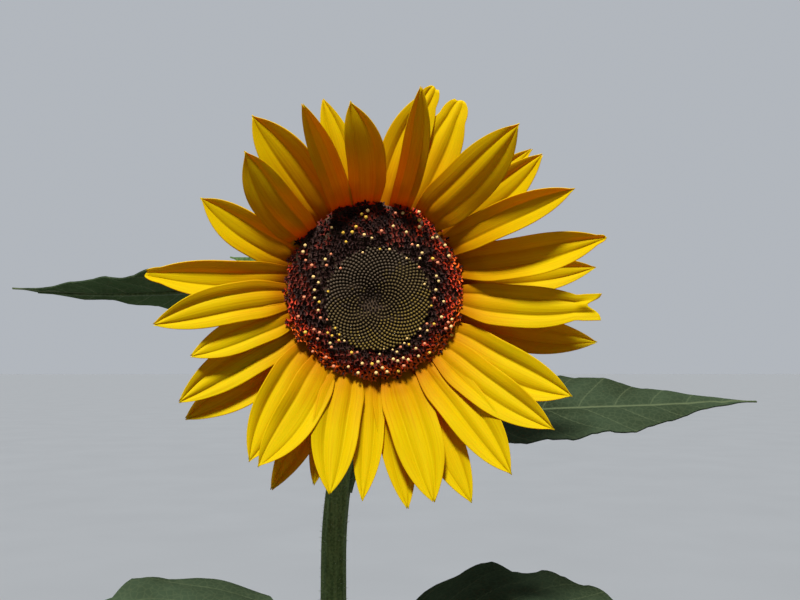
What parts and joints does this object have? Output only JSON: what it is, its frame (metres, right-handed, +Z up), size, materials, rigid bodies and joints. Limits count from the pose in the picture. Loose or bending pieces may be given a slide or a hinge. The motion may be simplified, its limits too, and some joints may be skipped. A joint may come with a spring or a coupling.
{
  "type": "sunflower plant",
  "caption": "Rooted sunflower plant with one yellow flower head facing sideways on a leafy upright stem.",
  "frame": {"origin": "middle of the flat cut under the stem, at ground level", "axes": "+Z up the plant, the flower faces -Y, +X to the right of someone who looks at its face"},
  "size_m": [0.561, 0.5569, 1.0884],
  "materials": {
    "stem": "matt, ridged and bristly green stem",
    "leaf": "rough matt green leaf with pale veins",
    "bract": "matt hairy green",
    "petal": "satin yellow, orange at the base, finely veined",
    "disc_bud": "matt olive buds over near black",
    "disc_floret": "matt dark maroon with pale pollen tips"
  },
  "bodies": {
    "root": {"stem": "stem", "receptacle": "bract", "bracts": "bract", "disc_buds": "disc_bud", "disc_florets": "disc_floret", "ray_petal_01": "petal", "ray_petal_02": "petal", "ray_petal_03": "petal", "ray_petal_04": "petal", "ray_petal_05": "petal", "ray_petal_06": "petal", "ray_petal_07": "petal", "ray_petal_08": "petal", "ray_petal_09": "petal", "ray_petal_10": "petal", "ray_petal_11": "petal", "ray_petal_12": "petal", "ray_petal_13": "petal", "ray_petal_14": "petal", "ray_petal_15": "petal", "ray_petal_16": "petal", "ray_petal_17": "petal", "ray_petal_18": "petal", "ray_petal_19": "petal", "ray_petal_20": "petal", "ray_petal_21": "petal", "ray_petal_22": "petal", "ray_petal_23": "petal", "ray_petal_24": "petal", "ray_petal_25": "petal", "ray_petal_26": "petal", "ray_petal_27": "petal", "ray_petal_28": "petal", "ray_petal_29": "petal", "ray_petal_30": "petal", "ray_petal_31": "petal", "ray_petal_32": "petal", "ray_petal_33": "petal", "ray_petal_34": "petal", "leaf_01": "leaf", "leaf_02": "leaf", "leaf_03": "leaf", "leaf_04": "leaf", "leaf_05": "leaf", "leaf_06": "leaf", "leaf_07": "leaf", "leaf_08": "leaf", "leaf_09": "leaf", "leaf_10": "leaf", "leaf_11": "leaf", "leaf_12": "leaf", "leaf_13": "leaf", "leaf_14": "leaf", "leaf_15": "leaf"}
  },
  "joints": []
}
